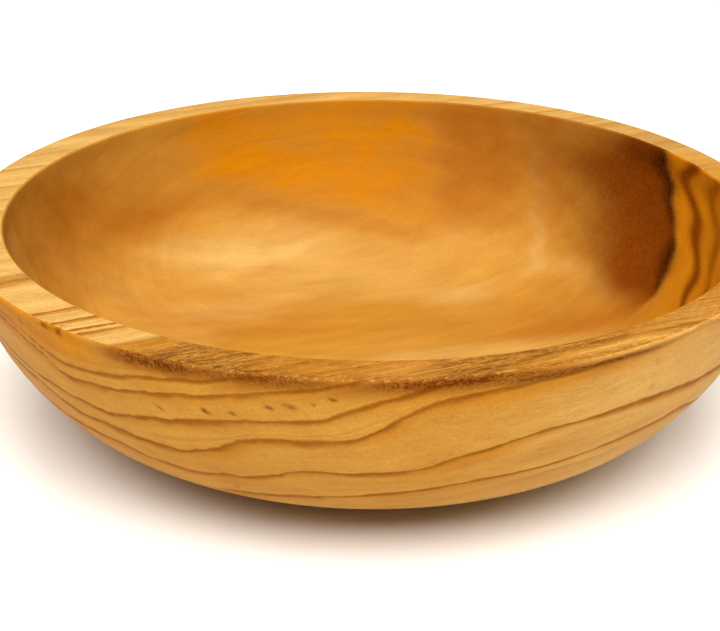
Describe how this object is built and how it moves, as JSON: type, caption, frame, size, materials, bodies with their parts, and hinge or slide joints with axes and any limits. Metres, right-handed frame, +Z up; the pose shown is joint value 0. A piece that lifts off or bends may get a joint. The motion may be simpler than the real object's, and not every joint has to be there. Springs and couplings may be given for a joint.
{
  "type": "turned wooden bowl",
  "caption": "Shallow round bowl turned from one piece of olive wood, with a flat broad rim and a small flat base.",
  "frame": {"origin": "centre of the flat base, on the surface the bowl stands on", "axes": "+Z up along the turning axis, +X along the grain of the wood, -Y towards the side whose outer wall shows long level growth lines"},
  "size_m": [0.1492, 0.1504, 0.041],
  "materials": {
    "olive_wood": "satin, oiled"
  },
  "bodies": {
    "root": {"bowl": "olive_wood"}
  },
  "joints": []
}
